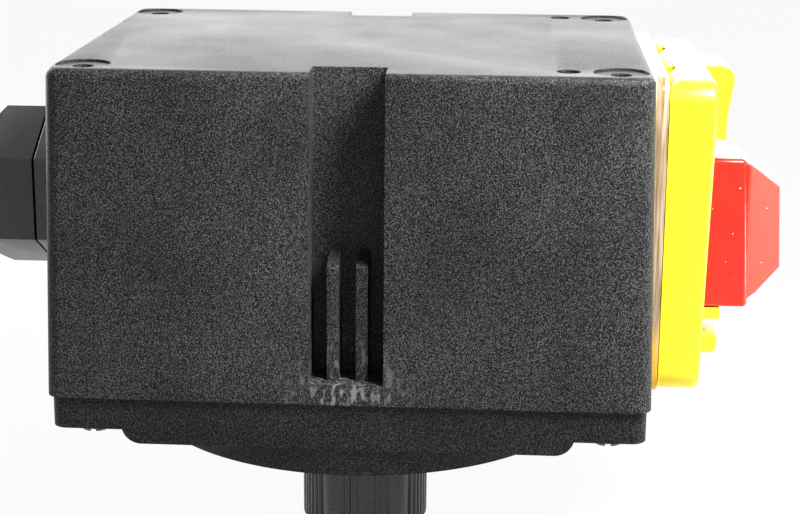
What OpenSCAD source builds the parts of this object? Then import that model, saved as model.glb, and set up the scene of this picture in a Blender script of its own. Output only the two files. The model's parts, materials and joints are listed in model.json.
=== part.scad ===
// Push-button switch box for a concrete mixer, built as it comes apart on a bench.
// The origin is the centre of the round flange's underside, on the axis of the
// cable gland there. +Z points up to the flat back of the case, +X points out of
// the hinged lid with the red stop pad, and -Y is the near side with the slot.

/* [Case] */
// Length of the case along X at its flat top
case_l = 106; // [100:1:120]
// Width of the case along Y at its flat top
case_w = 85; // [80:1:100]
// Height of the case from the seam to its flat top
case_h = 59.6; // [59:0.2:70]
// How far each upright wall leans out on its way down to the seam
case_lean = 1.45; // [0.8:0.05:2]
// Thickness of the case walls
wall = 2.6; // [2:0.1:3.2]
// Radius of the upright corners
corner_r = 2.8; // [2:0.1:4]
// Radius of the edge round the flat top
edge_r = 1.5; // [0.8:0.1:2]
// Width of the thicker rim along the seam
rim_w = 3.8; // [3.4:0.1:4.4]
// Height of that rim
rim_h = 2.5; // [2:0.1:4]

/* [Screw posts] */
// Distance of a post axis from the end of the flat top
post_x = 5.8; // [5.4:0.1:7]
// Distance of a post axis from the side of the flat top
post_y = 6.5; // [6:0.1:8]
// Radius of a post
post_r = 4.9; // [4.6:0.1:5.2]
// Radius of the corner hole in a post
post_bore_r = 1.9; // [1.8:0.05:2.2]
// Depth of a corner hole
corner_d = 36; // [20:1:38]
// Radius of the shallow seat round a bore in the flat top
seat_r = 4.9; // [4:0.1:5.2]
// Depth of that seat
seat_d = 0.45; // [0.2:0.05:0.8]
// Radius of the two extra holes at the lid end
extra_r = 2.15; // [1.8:0.05:2.4]
// Distance of an extra hole from its post
extra_gap = 9.1; // [8.5:0.1:12]
// Depth of an extra hole
extra_d = 14; // [8:1:20]

/* [Side slots] */
// Width of the slot in each long side
slot_w = 13.3; // [11:0.1:16]
// Depth of the slot
slot_d = 7.7; // [6:0.1:9]
// Height of the slot floor above the seam
slot_floor = 3.8; // [3:0.1:6]
// Thickness of a fin in the slot
fin_t = 2.1; // [1.5:0.1:3]
// Distance between the middles of the two fins
fin_gap = 5.2; // [4:0.1:6.5]
// Height of a fin above the slot floor
fin_h = 21.6; // [15:0.2:30]
// Distance of a fin behind the mouth of the slot
fin_back = 1.4; // [0.8:0.1:2.5]

/* [Cover] */
// How far the cover stands in from the seam outline
cover_in = 0.7; // [0.3:0.1:1]
// Height of the cover at its four corner shelves
shelf_h = 6; // [5:0.1:7]
// Height of the cover at its raised middle
cover_h = 8.65; // [8:0.05:10]
// Length of a corner shelf along X, with its shoulder
shelf_l = 16.4; // [15.8:0.1:18]
// Length of a corner shelf along Y
shelf_w = 14; // [13.4:0.1:17]
// Thickness of the cover's walls and floor
cover_t = 2.6; // [2:0.1:3]
// Width of the gasket groove in the cover's rim
groove_w = 1.8; // [1.4:0.1:2]
// Depth of the gasket groove
groove_d = 1.3; // [1:0.1:2]
// Radius of the round flange
flange_r = 42.5; // [36:0.5:43]
// Height of the round flange under the raised middle
flange_h = 5.25; // [4.5:0.05:8]

/* [Cover screws] */
// Radius of a screw's shank
screw_r = 1.45; // [1.3:0.05:1.6]
// Length of a screw under its head
screw_l = 20; // [14:1:30]
// Radius of a screw's head
head_r = 3.5; // [3:0.1:4.4]
// Height of a screw's head
head_h = 2.3; // [2:0.1:3.6]

/* [Flange gland] */
// Outer radius of the threaded spout under the flange
spout_r = 9.9; // [9:0.1:10.5]
// Length of the spout under the flange
spout_l = 15; // [12:0.5:18]
// Outer radius of the rubber bush in the spout
bush_r = 7.2; // [6.5:0.1:7.6]
// Length of that bush
bush_l = 16; // [12:0.5:17]
// Radius of the hole for the cable in both bushes
cable_r = 5; // [4:0.1:5.5]
// Radius of the ribbed nut at the foot of its ribs
knob_r = 12.3; // [11.8:0.1:13]
// Length of the straight part of the ribbed nut
knob_l = 22.3; // [20:0.1:26]
// Height of the sloping end of the ribbed nut
knob_end = 4.4; // [3:0.1:6]
// How far the five broad ridges stand out
ridge_out = 0.6; // [0.3:0.05:1]
// How far the fine ribs stand out
rib_out = 0.35; // [0.2:0.05:0.6]

/* [Side gland] */
// Height of the gland axis above the seam
gland_z = 29.4; // [26:0.1:32]
// Width across flats of the gland's hexagons
gland_af = 27.5; // [26:0.1:29]
// Radius of the gland's threads
thread_r = 11; // [10.4:0.1:11.4]
// Length of the fixed hexagon
collar_l = 7.4; // [5:0.1:9]
// Length of the straight hexagon of the dome nut
dome_l = 8; // [6:0.1:10]
// Length of the dome beyond the hexagon
dome_out = 9.5; // [8:0.1:12]
// Radius of the dome's end
dome_end_r = 9.4; // [8.5:0.1:10.5]
// Outer radius of the rubber bush in the gland
side_bush_r = 8.2; // [7.6:0.1:8.6]
// Thickness of the rubber washer under the gland
washer_t = 1.2; // [0.8:0.1:2]

/* [Lid] */
// Width of the yellow lid along Y
lid_w = 61.5; // [58:0.5:66]
// Height of the yellow lid along Z
lid_h = 57.6; // [56:0.2:58.6]
// Height of the lid's lower edge above the seam
lid_low = -0.5; // [-0.8:0.1:0.6]
// Depth of the lid along X at its top
lid_t = 8.6; // [8.2:0.1:10]
// How much shallower the lid is at its bottom
lid_lean = 1.1; // [0:0.1:1.2]
// Radius of the lid's corners
lid_r = 4.4; // [3:0.1:7]
// Radius of the lid's outer edges
lid_edge = 1.3; // [0.8:0.1:1.8]
// Thickness of the lid's side walls
lid_wall = 2.2; // [1.8:0.1:2.6]
// Thickness of the lid's front at its foot
lid_skin = 2.3; // [2:0.1:2.6]
// Thickness of the clear seal at the middle of its height
seal_t = 2.3; // [1.9:0.1:3]
// Width of the tab, the pad and the finger lip along Y
band_w = 15.4; // [12:0.2:18]
// How far the tab stands out from the lid
tab_out = 5.2; // [3:0.1:6]
// Height of the tab along Z
tab_h = 14; // [10:0.2:15]
// Height of the finger lip along Z
lip_h = 3.4; // [2.5:0.1:4]
// How far the finger lip stands out from the lid
lip_out = 5.4; // [3:0.1:6]
// Thickness of the guide below the pad
guard_t = 2.1; // [1.5:0.1:2.4]
// How far the guide stands out from the lid
guard_out = 5.2; // [3:0.1:6]

/* [Hinge] */
// Radius of the hinge pin
pin_r = 1.25; // [1:0.05:1.4]
// Length of the hinge pin
pin_l = 40; // [34:1:44]
// Width of one hinge lug
lug_w = 4; // [3:0.1:5]
// Radius of a hinge lug's eye
lug_r = 2.7; // [2.4:0.1:2.8]

/* [Stop pad] */
// Height of the red pad along Z
pad_h = 29.3; // [26:0.1:30]
// Height of the pad's middle above the seam
pad_z = 24.2; // [23.8:0.1:25]
// Thickness of the pad's lower block
pad_t = 7.8; // [7:0.1:9]
// Height of the pad's peak in front of that block
peak_t = 6.6; // [5:0.1:8]
// Lean of the pad in degrees, its foot outwards
pad_lean = 3; // [0:0.5:4]
// Travel of the pad and of the stop button
stop_travel = 3; // [2:0.1:3.2]
// Radius of the pad's stem
stem_r = 4; // [3:0.1:4.4]

/* [Switch] */
// Width of the switch body along Y
body_w = 42; // [40:0.5:46]
// Height of the switch body along Z
body_h = 42; // [41:0.5:44]
// Length of the switch body along X
body_l = 34; // [33:0.5:38]
// Width of the hole for the switch in the case wall, along Y and Z
port = 40; // [39:0.5:40.4]
// Thickness of the front frame
frame_t = 2.5; // [2:0.1:2.8]
// Travel of the start button and of what it drives
start_travel = 3.5; // [3:0.1:3.6]
// Width of the start button along Y
start_w = 20; // [16:0.5:22]
// Height of the start button along Z
start_h = 12; // [10:0.5:12.5]
// Width of the stop button along Y
stop_w = 16; // [14:0.5:20]
// Height of the stop button along Z
stop_h = 14; // [13:0.5:14.5]

/* [Hidden] */
$fn = 48;

// Fits shared by all pieces
over = 1;           // how far a cut runs past a face
fit = 0.1;          // gap between pieces that are fixed to each other
play = 0.3;         // gap between pieces that move past each other
run = 0.05;         // radial gap between a pin and its bore

// Heights of the main planes
shelf_z = flange_h + cover_h - shelf_h;
seam_z = flange_h + cover_h;
top_z = seam_z + case_h;

// Case and cover outlines at the seam
seam_l = case_l + 2 * case_lean;
seam_w = case_w + 2 * case_lean;
cover_l = seam_l - 2 * cover_in;
cover_w = seam_w - 2 * cover_in;
post_px = case_l / 2 - post_x;
post_py = case_w / 2 - post_y;
groove_in = 1;      // distance of the groove from the cover's outline
tongue_t = 1.6;     // thickness of the cover's locating tongues
tongue_h = 2.2;     // height of the tongues
tongue_in = rim_w - cover_in + fit;
well_r = flange_r - 3.5;
well_rib_t = 2;
well_ribs = 8;
shoulder_r = 3.6;   // radius of the raised middle's lower edge at a corner shelf
nut_seat_d = 0.6;   // depth of the round seat for the ribbed nut
nut_seat_r = knob_r + ridge_out + 2 * play;
screw_hole_r = screw_r + play + 5 * fit;
screw_room = 2;     // depth of a screw's bore beyond its end

// A point on the sloping end walls of the case at a height above the seam
function wall_x(h) = case_l / 2 + case_lean * (1 - h / case_h);

// Side gland along -X
gland_h = seam_z + gland_z;
gland_boss = 0.55;  // how far the flat pad stands out under the gland
gland_boss_r = 16;
gland_x = wall_x(gland_z) + gland_boss;
gland_in_x = wall_x(gland_z) - wall - play;
collar_x = gland_x + washer_t;
dome_x = collar_x + collar_l + play;
dome_skin = 3.4;    // thickness of the dome nut's end
thread_end_x = dome_x + dome_l + dome_out - dome_skin - play;
thread_in = 8.6;    // length of the thread inside the wall
locknut_t = 4.5;
gland_bore_r = 6.9;
side_bush_l = 14;
nut_hole_r = 6.2;   // radius of the holes in both nuts
point_drop = 1.7;   // how far the dome cuts the hexagon's points back

// Flange gland along -Z
spout_bore_r = bush_r + fit;
bush_seat_z = 1;    // height of the seat that the bush is pressed against in the spout
ridges = 5;
ridge_turn = 23;    // turn of the first ridge from +X, in degrees
ridge_half = 9;     // half the width of a ridge, in degrees
fine_per_gap = 9;

// Lid end, along +X
body_mid = seam_z + lid_low + lid_h / 2;
seal_x = wall_x(lid_low + lid_h / 2) + seal_t;
rim_x = seal_x + play - run;
lid_top = seam_z + lid_low + lid_h;
seal_over = 0.8;    // how far the seal stands out round the lid
seal_w = lid_w + 2 * seal_over;
seal_h = lid_h + 2 * seal_over;
front_x = rim_x + lid_t;
lid_room_x = front_x - lid_lean - lid_skin;
function face_x(z) = front_x - lid_lean * (lid_top - z) / lid_h;

// Hinge along Y
hinge_in = 4;       // distance of the hinge axis in front of the lid's rim
hinge_down = 3.6;   // distance of the hinge axis below the lid's top
hinge_x = rim_x + hinge_in;
hinge_z = lid_top - hinge_down;
hinge_turn_r = hinge_in + play / 2;     // radius of the lid's rounded edge about its hinge
bar_h = 6.6;        // height of the solid bar that holds the hinge pin
bar_w = pin_l + 8;
lip_up = 0.8;       // height of the finger lip above the lid's foot
lug_y = 12.2;
sweep_in = 118;     // angles between which a lug's neck passes through the bar
sweep_out = 270;

// Front frame inside the lid
frame_w = 54;
frame_low = seam_z + 4.5;
frame_high = hinge_z - 5.3;
frame_x = seal_x + frame_t;
well_t = 1.4;
well_h = 1.5;

// Buttons
stop_share = 0.1714;        // depth of the stop button below the middle over the body's height
start_share = 0.2333;       // height of the start button above the middle over the same
stop_z = body_mid - body_h * stop_share;
start_z = body_mid + body_h * start_share;
stop_face = frame_x + run * 4;
start_face = frame_x + 1.4;
stop_back = seal_x + run * 4;
start_back = seal_x + 0.6;
button_r = 1.2;
shaft_r = 2;

// Stop pad
recess_x = lid_room_x + 1.4;        // floor of the recess that the pad moves in
pad_back = recess_x + stop_travel + play;
pad_mid = seam_z + pad_z;
pad_edge = 1;
peak_low_share = 0.846;     // height of the peak's foot over the pad's height
peak_high_share = 0.55;     // height of its flat end over the pad's height
foot_w_share = 0.84;        // the same for the width
end_w_share = 0.55;
rise_share = 0.26;          // height of the sloping rim round the peak over the peak's height
clip_t = 0.7;
clip_r = 5.8;
neck_r = stem_r - 0.8;
stem_end = stop_face + play;
clip_x = lid_room_x - fit - clip_t;
pocket_r = 6.2;
pocket_d = pad_t * 0.6;

// Switch body along -X
body_x = wall_x(case_h) - wall - play;
body_back = body_x - body_l;
body_t = 2;
spigot = port - 8 * fit;
base_t = 3;
front_in = body_x - 3.7;
pocket_x = seal_x - 3.4;
spring_floor = body_x - 1.5;
spring_seat_r = 4.7;
ear_t = 4;
ear_h = 12;
ear_y = port / 2 + 3.4;
ear_screw_r = 1.6;
ear_screw_l = 11;
ear_head_r = 3.2;
ear_head_h = 2;
base_screw_r = 1.25;
base_screw_l = 11;
base_head_r = 2.2;
base_head_h = 1.4;
base_post_r = 2.6;
base_post_in = 3.6; // distance of a base screw from the body's sides

// Magnet
core_t = 4.4;
core_h = 10;
leg_w = 9;
side_leg_w = 4.6;
core_w = 33;
leg_l = 15.5;
core_x = body_back + base_t + fit;
leg_x = core_x + leg_l;
strip_room = 0.2;   // gap between a cut-out strip and its neighbours
cutout_t = 0.6;
cutout_low = body_mid - body_h / 2 + body_t + strip_room;
bobbin_t = 0.8;
bobbin_out = 3.8;
winding_out = 3.3;
core_z = cutout_low + cutout_t + strip_room + bobbin_out + core_h / 2;
armature_t = 3;
armature_h = 13;
armature_x = leg_x + start_travel + 2 * fit;

// Contacts
carrier_t = 3;
carrier_x = body_x - 7;
carrier_w = 34;
carrier_h = 17;
carrier_z = start_z + 0.2;
arm_y = 12.5;
arm_w = 6;
arm_low = armature_h / 2 - 3.4;
peg_r = 1.2;
pole_gap = 12;
contact_z = start_z + 1;
strip_w = 4;
strip_t = 1;
tip_in = 2.5;       // distance of a fixed contact's tip from the pole's middle
tip_out = 6.7;
contact_r = 1.4;
contact_t = 0.8;
bridge_l = 11;
fixed_x = body_back + 11;
bridge_x = fixed_x + strip_t + 2 * contact_t + start_travel + fit;
post_w = 7;
post_h = 4.4;
window_end = bridge_x + 6.7;
small_coil_r = 1.5;
small_wire_r = 0.22;

// Cut-out contact behind the stop button
cutout_x = body_x - 5.4;
cutout_y = 7;
cutout_w = 3.4;

// Terminals behind the base
block_l = 7;
block_w = 6;
block_h = 6;
term_screw_r = 1.4;
term_head_r = 2.6;
term_head_h = 1.6;
term_z_upper = contact_z + tip_out - strip_t / 2;
term_z_lower = contact_z - tip_out + strip_t / 2;

// Earth terminal under the flat top
earth_x = -24;
earth_l = 14;
earth_w = 8;
earth_h = 7;
earth_boss_h = 3;
earth_wire_r = 1.6;

// Springs
coil_sides = 6;
coil_steps = 14;
spring_wire_r = 0.35;
spring_turns = 4;
spring_r = spring_seat_r - 1;

// A flat shape with round corners, in the XY plane
module round_rect(l, w, r) {
    union() {
        square([l - 2 * r, w], center = true);
        square([l, w - 2 * r], center = true);
        for (sx = [-1, 1], sy = [-1, 1])
            translate([sx * (l / 2 - r), sy * (w / 2 - r)]) circle(r = r);
    }
}

// A round-cornered plate that stands on the YZ plane and grows along +X
module x_plate(w, h, r, t) {
    rotate([90, 0, 90]) linear_extrude(t) round_rect(w, h, r);
}

// A cylinder along +X
module x_rod(r, l) {
    rotate([0, 90, 0]) cylinder(r = r, h = l);
}

// A hexagonal prism along +X with its points up and down
module x_hex(af, l) {
    rotate([0, 90, 0]) cylinder(r = af / sqrt(3), h = l, $fn = 6);
}

// A disc with its upper edge rounded, for the corners of hulls
module puck(r, e, h) {
    rotate_extrude($fn = 32) {
        square([r, h - e]);
        square([r - e, h]);
        translate([r - e, h - e]) intersection() {
            circle(r = e, $fn = 24);
            square([e, e]);
        }
    }
}

// A coil spring along +X from the origin, as one tube that follows a helix
function coil_at(r, l, turns, i) = let (a = 360 * i / coil_steps)
    [l * i / (turns * coil_steps), r * cos(a), r * sin(a)];
function ring_at(r, w, l, turns, i) = let (a = 360 * i / coil_steps, p = coil_at(r, l, turns, i))
    [for (k = [0 : coil_sides - 1]) let (b = 360 * k / coil_sides)
        p + [w * sin(b), w * cos(b) * cos(a), w * cos(b) * sin(a)]];
module coil(r, w, length, turns) {
    l = length - 2 * w;
    n = turns * coil_steps;
    points = [for (i = [0 : n]) each ring_at(r, w, l, turns, i)];
    sides = [for (i = [0 : n - 1], k = [0 : coil_sides - 1]) let (
        a = i * coil_sides + k,
        b = i * coil_sides + (k + 1) % coil_sides)
        each [[a, b, a + coil_sides], [b, b + coil_sides, a + coil_sides]]];
    caps = [for (k = [1 : coil_sides - 2])
        each [[0, k + 1, k], [n * coil_sides, n * coil_sides + k, n * coil_sides + k + 1]]];
    translate([w, 0, 0]) polyhedron(points, concat(sides, caps));
    echo("least gap between turns, mm", coil_gap(r, w, l, turns));
}
function coil_gap(r, w, l, turns) = min([for (i = [0 : coil_steps], j = [coil_steps / 2 : coil_steps * 3 / 2])
    norm(coil_at(r, l, turns, i) - coil_at(r, l, turns, i + j))]) - 2 * w;

// Children once as they are and once turned to the far side
module both_sides() {
    children();
    rotate([0, 0, 180]) children();
}

// Children at the four posts
module at_posts() {
    for (sx = [-1, 1], sy = [-1, 1]) translate([sx * post_px, sy * post_py, 0]) children();
}

// The form of the case, with its lean and its rounded top edge
module case_form(inset, low, high, edge) {
    r = max(corner_r - inset, edge + fit);
    foot = edge_r / 4;
    hull() {
        for (sx = [-1, 1], sy = [-1, 1]) {
            translate([sx * (case_l / 2 - inset - r), sy * (case_w / 2 - inset - r), high - 2 * edge])
                puck(r, edge, 2 * edge);
            translate([sx * (seam_l / 2 - inset - r), sy * (seam_w / 2 - inset - r), low])
                cylinder(r = r, h = foot, $fn = 32);
        }
    }
}

// A fin in a slot, with a round nose and a top that climbs to the back of the slot
module fin(depth) {
    nose = fin_t / 2;
    rise = fin_t * 0.7;
    rotate([90, 0, 90]) translate([0, 0, -fin_t / 2]) linear_extrude(fin_t) union() {
        square([depth, fin_h - nose]);
        translate([nose, fin_h - nose]) circle(r = nose);
        polygon([[nose, fin_h - nose], [nose, fin_h], [depth, fin_h + rise], [depth, fin_h - nose]]);
    }
}

module slot_cut() {
    translate([-slot_w / 2, -seam_w / 2 - over, seam_z + slot_floor])
        cube([slot_w, case_lean + over + slot_d, case_h]);
}

module slot_lining() {
    translate([-slot_w / 2 - wall, -case_w / 2 + wall / 2, seam_z - over])
        cube([slot_w + 2 * wall, slot_d + wall / 2, case_h]);
}

// What stays solid round the thicker rim along the seam
module seam_rim() {
    difference() {
        linear_extrude(rim_h) square([seam_l, seam_w], center = true);
        translate([0, 0, -over]) linear_extrude(rim_h + 2 * over)
            round_rect(seam_l - 2 * rim_w, seam_w - 2 * rim_w, corner_r);
    }
}

// The hollow of the case, with what stays solid in it
module case_hollow() {
    difference() {
        case_form(wall, seam_z - over, top_z - wall, edge_r / 2);
        both_sides() slot_lining();
        translate([0, 0, seam_z]) at_posts() cylinder(r = post_r, h = case_h);
        for (sy = [-1, 1]) translate([post_px - extra_gap, sy * post_py, top_z - extra_d - wall])
            cylinder(r = extra_r + wall * 0.7, h = extra_d + wall);
        translate([0, 0, seam_z]) seam_rim();
        translate([-gland_x, 0, gland_h]) x_rod(gland_boss_r, gland_x - gland_in_x);
        translate([earth_x - earth_l / 2, -earth_w / 2, top_z - wall - earth_boss_h])
            cube([earth_l, earth_w, earth_boss_h + over]);
    }
}

module housing() {
    color([0.16, 0.16, 0.17]) difference() {
        union() {
            difference() {
                case_form(0, seam_z, top_z, edge_r);
                case_hollow();
                both_sides() slot_cut();
            }
            both_sides() for (sx = [-1, 1])
                translate([sx * fin_gap / 2, -case_w / 2 + fin_back, seam_z + slot_floor])
                    fin(slot_d - fin_back + wall / 2);
            translate([-gland_x, 0, gland_h]) x_rod(gland_boss_r, gland_boss + wall);
        }
        translate([0, 0, seam_z - over]) at_posts()
            cylinder(r = screw_r + run, h = over + screw_l - shelf_h + screw_room);
        translate([0, 0, top_z - corner_d]) at_posts() cylinder(r = post_bore_r, h = corner_d + over);
        translate([0, 0, top_z - seat_d]) at_posts() cylinder(r = seat_r, h = over);
        for (sy = [-1, 1]) translate([post_px - extra_gap, sy * post_py, top_z - extra_d])
            cylinder(r = extra_r, h = extra_d + over);
        translate([body_x, 0, body_mid]) x_plate(port, port, button_r, wall + 2 * case_lean + over);
        for (sy = [-1, 1]) translate([body_x, sy * ear_y, body_mid])
            x_rod(ear_screw_r + play, wall + 2 * case_lean + over);
        translate([-gland_x - over, 0, gland_h]) x_rod(thread_r + fit, gland_boss + 2 * wall + over);
        translate([earth_x, 0, top_z - wall - earth_boss_h - over])
            cylinder(r = term_screw_r, h = earth_boss_h + over);
    }
}

// The corner that is cut from under the cover, with the shoulder beside it
module shelf_cut() {
    drop = cover_h - shelf_h;
    pad_x = cover_l / 2 - shelf_l;
    translate([0, -cover_w / 2 - over, 0]) rotate([90, 0, 0]) mirror([0, 0, 1])
        linear_extrude(shelf_w + over) difference() {
            translate([pad_x, flange_h - over]) square([shelf_l + over, drop + over]);
            translate([pad_x, flange_h + shoulder_r]) circle(r = shoulder_r, $fn = 64);
        }
}

module cover() {
    inner_l = cover_l - 2 * (tongue_in + tongue_t);
    inner_w = cover_w - 2 * (tongue_in + tongue_t);
    block_x = cover_l / 2 - shelf_l - cover_t;
    block_y = cover_w / 2 - shelf_w - cover_t;
    floor_z = flange_h + cover_t;
    color([0.17, 0.17, 0.18]) difference() {
        union() {
            difference() {
                translate([0, 0, flange_h]) linear_extrude(cover_h) round_rect(cover_l, cover_w, corner_r);
                for (a = [0, 1], b = [0, 1]) mirror([a, 0, 0]) mirror([0, b, 0]) shelf_cut();
                translate([0, 0, floor_z]) linear_extrude(cover_h) difference() {
                    square([inner_l, inner_w], center = true);
                    for (sx = [-1, 1], sy = [-1, 1])
                        translate([sx * (block_x + shelf_l), sy * (block_y + shelf_w)])
                            square([2 * shelf_l, 2 * shelf_w], center = true);
                }
                translate([0, 0, seam_z - groove_d]) cover_ring(groove_in, groove_w, groove_d + over);
            }
            translate([0, 0, seam_z - over]) cover_tongues();
            cylinder(r = flange_r, h = flange_h + over, $fn = 96);
            translate([0, 0, -spout_l]) cylinder(r = spout_r, h = spout_l + over);
            cylinder(r = spout_r, h = floor_z + over * 2);
        }
        translate([0, 0, cover_t]) difference() {
            cylinder(r = well_r, h = floor_z + over, $fn = 96);
            translate([0, 0, -over]) cylinder(r = spout_r, h = floor_z + 4 * over);
            for (i = [0 : well_ribs - 1]) rotate([0, 0, 360 * (i + 0.5) / well_ribs])
                translate([0, -well_rib_t / 2, -over]) cube([flange_r, well_rib_t, flange_h + over]);
            for (sx = [-1, 1], sy = [-1, 1])
                translate([sx * (block_x + shelf_l), sy * (block_y + shelf_w), 0])
                    cube([2 * shelf_l, 2 * shelf_w, 4 * cover_h], center = true);
        }
        translate([0, 0, -spout_l - over]) cylinder(r = spout_bore_r, h = spout_l + over + bush_seat_z);
        translate([0, 0, -spout_l]) cylinder(r = nut_hole_r, h = spout_l + cover_h + flange_h);
        translate([0, 0, flange_h]) at_posts() cylinder(r = screw_hole_r, h = cover_h + over);
        translate([0, 0, -over]) difference() {
            cylinder(r = nut_seat_r, h = over + nut_seat_d);
            translate([0, 0, -over]) cylinder(r = spout_r, h = nut_seat_d + 3 * over);
        }
    }
}

// A ring that follows the cover's outline at a distance inside it
module cover_ring(inset, w, h) {
    linear_extrude(h) difference() {
        round_rect(cover_l - 2 * inset, cover_w - 2 * inset, corner_r - inset / 2);
        square([cover_l - 2 * (inset + w), cover_w - 2 * (inset + w)], center = true);
    }
}

// The tongues that hold the case in line, clear of its posts and slots
module cover_tongues() {
    end_y = post_py - post_r - over;
    side_x = post_px - post_r - over;
    slot_x = slot_w / 2 + wall + over;
    for (s = [-1, 1]) {
        translate([s * (cover_l / 2 - tongue_in - tongue_t / 2), 0, (over + tongue_h) / 2])
            cube([tongue_t, 2 * end_y, over + tongue_h], center = true);
        for (t = [-1, 1])
            translate([t * (side_x + slot_x) / 2, s * (cover_w / 2 - tongue_in - tongue_t / 2), (over + tongue_h) / 2])
                cube([side_x - slot_x, tongue_t, over + tongue_h], center = true);
    }
}

module cover_gasket() {
    color([0.1, 0.1, 0.1]) translate([0, 0, seam_z - groove_d])
        cover_ring(groove_in + run, groove_w - 2 * run, groove_d);
}

module cover_screws() {
    slot = head_r * 0.3;
    color([0.72, 0.72, 0.74]) translate([0, 0, shelf_z]) at_posts() {
        cylinder(r = screw_r, h = screw_l);
        difference() {
            translate([0, 0, -head_h]) cylinder(r1 = head_r * 0.72, r2 = head_r, h = head_h * 0.4);
            translate([-slot / 2, -head_r, -head_h - over]) cube([slot, 2 * head_r, over + head_h * 0.3]);
            translate([-head_r, -slot / 2, -head_h - over]) cube([2 * head_r, slot, over + head_h * 0.3]);
        }
        translate([0, 0, -head_h * 0.6]) cylinder(r = head_r, h = head_h * 0.6);
    }
}

module side_gland_body() {
    color([0.15, 0.15, 0.16]) rotate([0, 0, 180]) translate([0, 0, gland_h]) difference() {
        union() {
            translate([gland_x - thread_in, 0, 0]) x_rod(thread_r, thread_end_x - gland_x + thread_in);
            translate([collar_x, 0, 0]) x_hex(gland_af, collar_l);
        }
        translate([gland_x - thread_in - over, 0, 0])
            x_rod(gland_bore_r, thread_end_x - gland_x + thread_in + 2 * over);
        translate([thread_end_x - side_bush_l, 0, 0]) x_rod(side_bush_r + fit, side_bush_l + over);
    }
}

module side_gland_washer() {
    color([0.1, 0.1, 0.1]) rotate([0, 0, 180]) translate([gland_x, 0, gland_h]) difference() {
        x_rod(gland_af / 2 - play, washer_t);
        translate([-over, 0, 0]) x_rod(thread_r + fit, washer_t + 2 * over);
    }
}

module side_gland_bush() {
    color([0.12, 0.12, 0.12]) rotate([0, 0, 180])
        translate([thread_end_x - side_bush_l, 0, gland_h]) difference() {
            x_rod(side_bush_r, side_bush_l + play);
            translate([-over, 0, 0]) x_rod(cable_r, side_bush_l + play + 2 * over);
        }
}

module side_gland_nut() {
    corner = gland_af / sqrt(3);
    color([0.15, 0.15, 0.16]) rotate([0, 0, 180]) translate([dome_x, 0, gland_h]) difference() {
        intersection() {
            x_hex(gland_af, dome_l + dome_out);
            rotate([0, 90, 0]) union() {
                cylinder(r = corner + over, h = dome_l);
                translate([0, 0, dome_l]) cylinder(r1 = corner, r2 = corner - point_drop, h = point_drop);
                translate([0, 0, dome_l + point_drop])
                    cylinder(r1 = corner - point_drop, r2 = dome_end_r, h = dome_out - point_drop);
            }
        }
        translate([-over, 0, 0]) x_rod(thread_r + fit, over + thread_end_x - dome_x + play);
        x_rod(nut_hole_r, dome_l + dome_out + over);
    }
}

module side_gland_locknut() {
    color([0.15, 0.15, 0.16]) rotate([0, 0, 180]) translate([gland_in_x - fit - locknut_t, 0, gland_h])
        difference() {
            x_hex(gland_af, locknut_t);
            translate([-over, 0, 0]) x_rod(thread_r + fit, locknut_t + 2 * over);
        }
}

module flange_gland_bush() {
    color([0.12, 0.12, 0.12]) translate([0, 0, bush_seat_z - bush_l]) difference() {
        cylinder(r = bush_r, h = bush_l);
        translate([0, 0, -over]) cylinder(r = cable_r, h = bush_l + 2 * over);
    }
}

// The outline of the ribbed nut: in each fifth one broad ridge, then fine ribs
function knob_point(a, out) = [(knob_r + out) * cos(a), (knob_r + out) * sin(a)];
function ridge_points(a) = [for (k = [-2 : 2]) knob_point(a + k * ridge_half / 2, ridge_out * (1 - k * k / 4))];
function rib_points(a, pitch) = [knob_point(a - pitch * 0.32, 0), knob_point(a - pitch * 0.18, rib_out),
    knob_point(a + pitch * 0.18, rib_out), knob_point(a + pitch * 0.32, 0)];
module knob_outline() {
    fifth = 360 / ridges;
    pitch = (fifth - 2 * ridge_half) / fine_per_gap;
    polygon([for (i = [0 : ridges - 1]) let (a = ridge_turn + i * fifth)
        each concat(ridge_points(a), [for (k = [0 : fine_per_gap - 1])
            each rib_points(a + ridge_half + (k + 0.5) * pitch, pitch)])]);
}

module flange_gland_nut() {
    full_r = knob_r + ridge_out + over;
    end_r = knob_r - knob_end * 0.7;
    color([0.15, 0.15, 0.16]) translate([0, 0, -play]) mirror([0, 0, 1]) difference() {
        intersection() {
            linear_extrude(knob_l + knob_end) knob_outline();
            union() {
                translate([0, 0, -over]) cylinder(r = full_r, h = over + knob_l);
                translate([0, 0, knob_l]) cylinder(r1 = full_r, r2 = end_r, h = knob_end);
            }
        }
        translate([0, 0, -over]) cylinder(r = spout_r + fit, h = over + spout_l);
        cylinder(r = nut_hole_r, h = knob_l + knob_end + over);
    }
}

module clear_seal() {
    low = lid_low - seal_over + lid_h + 2 * seal_over;
    color([0.85, 0.8, 0.6]) difference() {
        intersection() {
            translate([wall_x(case_h), 0, body_mid]) x_plate(seal_w, seal_h, lid_r, seal_x - wall_x(case_h));
            rotate([90, 0, 0]) linear_extrude(seal_w + over, center = true) polygon([
                [wall_x(0) + run, seam_z], [seal_x + over, seam_z],
                [seal_x + over, seam_z + low + over], [wall_x(low + over) + run, seam_z + low + over]]);
        }
        translate([wall_x(case_h) - over, 0, body_mid])
            x_plate(spigot + 2 * fit, spigot + 2 * fit, button_r, seal_x);
        for (sy = [-1, 1]) translate([wall_x(case_h) - over, sy * ear_y, body_mid])
            x_rod(ear_screw_r + play, seal_x);
    }
}

// One hinge lug in the XZ plane, with its neck rising from the frame
module lug_outline() {
    union() {
        translate([hinge_x, hinge_z]) circle(r = lug_r);
        polygon([
            [seal_x, frame_high - over], [frame_x, frame_high - over], [frame_x, frame_high],
            [hinge_x + lug_r * cos(-70), hinge_z + lug_r * sin(-70)],
            [hinge_x + lug_r * cos(215), hinge_z + lug_r * sin(215)],
            [seal_x, frame_high]]);
    }
}

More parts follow.
